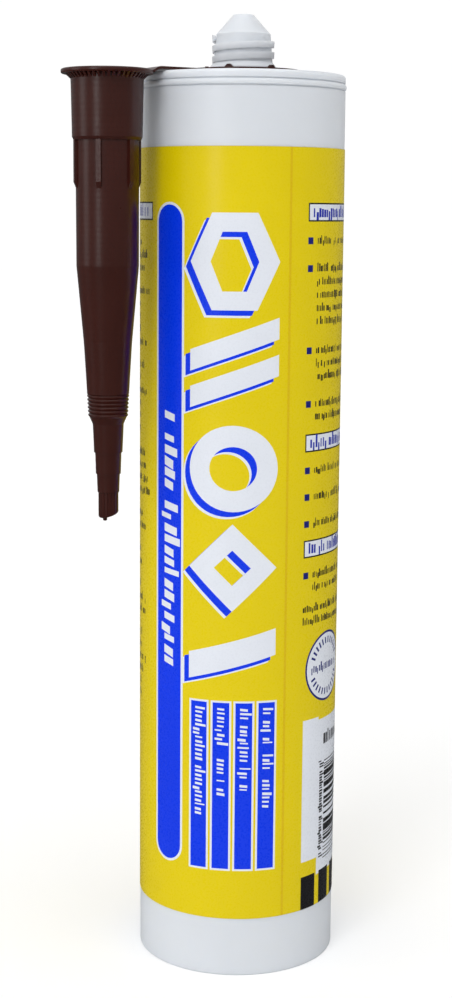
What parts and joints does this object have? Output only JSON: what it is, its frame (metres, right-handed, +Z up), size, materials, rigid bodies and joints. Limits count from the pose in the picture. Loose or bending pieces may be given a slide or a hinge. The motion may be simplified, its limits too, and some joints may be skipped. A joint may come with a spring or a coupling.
{
  "type": "sealant cartridge",
  "caption": "Plastic sealant cartridge with a printed wrap label, a sliding plunger, a closed threaded neck, and a nozzle hanging beside it on a moulded strap.",
  "frame": {"origin": "on the cartridge's axis, in the plane of its open end", "axes": "+Z up the axis from the open end to the neck; the nozzle hangs on the -X side"},
  "size_m": [0.0718, 0.0494, 0.2307],
  "materials": {
    "cartridge_hdpe": "moulded white HDPE, satin",
    "plunger_pe": "moulded natural-white LDPE, satin",
    "sealant_paste": "soft white acrylic paste",
    "label_film": "yellow printed polypropylene film, semi-gloss",
    "nozzle_pe": "moulded dark-brown LDPE, satin"
  },
  "bodies": {
    "cartridge": {"cartridge": "cartridge_hdpe", "label": "label_film", "sealant": "sealant_paste"},
    "plunger": {"plunger": "plunger_pe"},
    "nozzle": {"nozzle": "nozzle_pe"}
  },
  "joints": [
    {"name": "plunger_slide", "type": "slide", "parent": "cartridge", "child": "plunger", "axis": [0, 0, 1], "range_m": [0, 0.1808], "deforming": ["sealant"]},
    {"name": "nozzle_swivel", "type": "hinge", "parent": "cartridge", "child": "nozzle", "pos_m": [0, 0, 0.2173], "axis": [0, 0, 1], "continuous": true}
  ]
}
